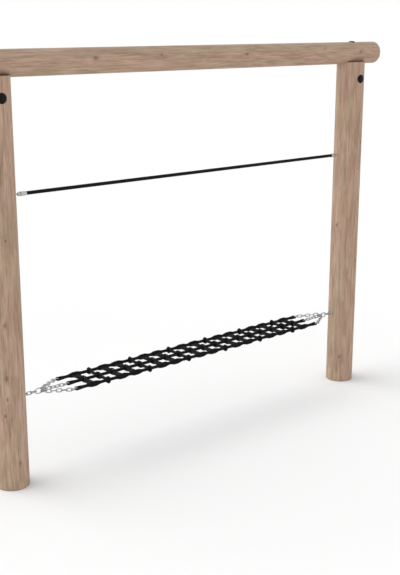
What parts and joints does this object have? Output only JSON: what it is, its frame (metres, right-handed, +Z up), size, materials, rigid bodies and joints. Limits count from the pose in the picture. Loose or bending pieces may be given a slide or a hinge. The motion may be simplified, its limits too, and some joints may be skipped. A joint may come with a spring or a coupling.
{
  "type": "rope balance bridge",
  "caption": "Play-area balance bridge: round timber posts and top beam, a taut hand rope at chest height and a narrow rope net hung low on chains.",
  "frame": {"origin": "centre of the left post's foot, on the ground", "axes": "+Z up, +X from the left post to the right post, the front faces -Y"},
  "size_m": [2.71, 0.2, 2.042],
  "materials": {
    "timber": "machine-rounded softwood, greyish brown, weathered",
    "bolt_cap_plastic": "moulded black plastic, slight sheen",
    "hand_rope_black": "black laid polyester rope on a steel core",
    "turned_steel": "turned stainless steel",
    "galvanised_steel": "galvanised, dull grey",
    "net_rope_black": "black braided polyester rope on a steel core"
  },
  "bodies": {
    "timber_frame": {"left_post": "timber", "right_post": "timber", "top_beam": "timber", "left_post_cap": "bolt_cap_plastic", "right_post_cap": "bolt_cap_plastic", "left_beam_cap": "bolt_cap_plastic", "right_beam_cap": "bolt_cap_plastic", "hand_rope": "hand_rope_black", "left_hand_rope_fitting": "turned_steel", "right_hand_rope_fitting": "turned_steel", "left_net_eyebolt": "galvanised_steel", "right_net_eyebolt": "galvanised_steel"},
    "rope_net": {"left_trunk_chain": "galvanised_steel", "right_trunk_chain": "galvanised_steel", "left_rear_chain": "galvanised_steel", "left_middle_chain": "galvanised_steel", "left_front_chain": "galvanised_steel", "right_rear_chain": "galvanised_steel", "right_middle_chain": "galvanised_steel", "right_front_chain": "galvanised_steel", "rear_net_rope": "net_rope_black", "middle_net_rope": "net_rope_black", "front_net_rope": "net_rope_black", "cross_rope_01": "net_rope_black", "cross_rope_02": "net_rope_black", "cross_rope_03": "net_rope_black", "cross_rope_04": "net_rope_black", "cross_rope_05": "net_rope_black", "cross_rope_06": "net_rope_black", "cross_rope_07": "net_rope_black", "cross_rope_08": "net_rope_black", "cross_rope_09": "net_rope_black", "cross_rope_10": "net_rope_black", "cross_rope_11": "net_rope_black", "cross_rope_12": "net_rope_black", "cross_rope_13": "net_rope_black", "cross_rope_14": "net_rope_black", "cross_rope_15": "net_rope_black", "cross_rope_16": "net_rope_black", "cross_rope_17": "net_rope_black", "cross_rope_18": "net_rope_black"}
  },
  "joints": [
    {"name": "net_roll", "type": "hinge", "parent": "timber_frame", "child": "rope_net", "pos_m": [1.155, 0, 0.437], "axis": [1, 0, 0], "range_deg": [-30, 30]}
  ]
}
